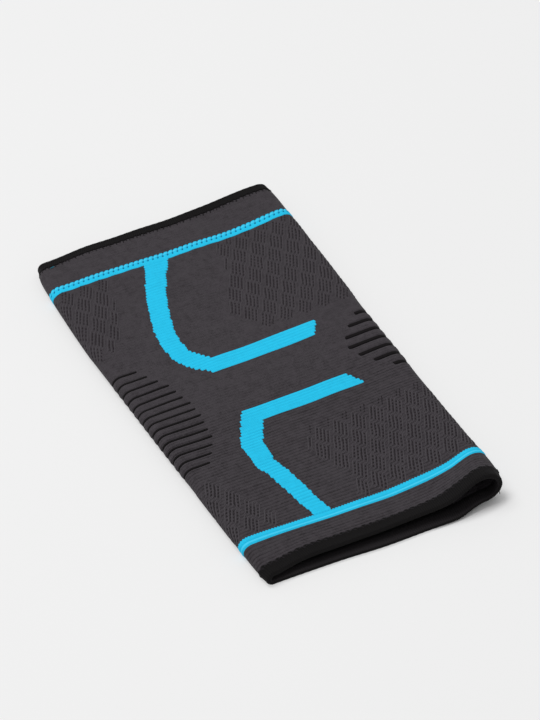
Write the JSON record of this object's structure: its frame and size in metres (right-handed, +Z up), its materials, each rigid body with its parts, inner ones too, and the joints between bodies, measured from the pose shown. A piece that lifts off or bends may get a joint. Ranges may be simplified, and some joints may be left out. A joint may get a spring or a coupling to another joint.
{
  "type": "knee support",
  "caption": "Knitted compression knee sleeve lying flattened, a hollow tube with bound ends, blue rings and angled knee bands, ribbed sides.",
  "frame": {"origin": "on the table, at the middle of the sleeve's length and width as it lies", "axes": "+Y along the sleeve from the calf end to the thigh end, +X across it, +Z up from the table"},
  "size_m": [0.1433, 0.265, 0.0187],
  "materials": {
    "knit": "matte dark grey elastic knit",
    "blue_yarn": "matte bright blue knit",
    "black_yarn": "matte black knit",
    "binding_elastic": "matte black elastic with overlocked edge"
  },
  "bodies": {
    "root": {"knit_tube": "knit", "thigh_stripe": "blue_yarn", "calf_stripe": "blue_yarn", "thigh_knee_band": "blue_yarn", "calf_knee_band": "blue_yarn", "thigh_binding": "binding_elastic", "calf_binding": "binding_elastic", "fine_rib_1": "black_yarn", "fine_rib_2": "black_yarn", "fine_rib_3": "black_yarn", "fine_rib_4": "black_yarn", "fine_rib_5": "black_yarn", "fine_rib_6": "black_yarn", "fine_rib_7": "black_yarn", "fine_rib_8": "black_yarn", "fine_rib_9": "black_yarn", "fine_rib_10": "black_yarn", "fine_rib_11": "black_yarn", "fine_rib_12": "black_yarn", "fine_rib_13": "black_yarn", "fine_rib_14": "black_yarn", "fine_rib_15": "black_yarn", "bold_rib_1": "black_yarn", "bold_rib_2": "black_yarn", "bold_rib_3": "black_yarn", "bold_rib_4": "black_yarn", "bold_rib_5": "black_yarn", "bold_rib_6": "black_yarn", "bold_rib_7": "black_yarn"}
  },
  "joints": []
}
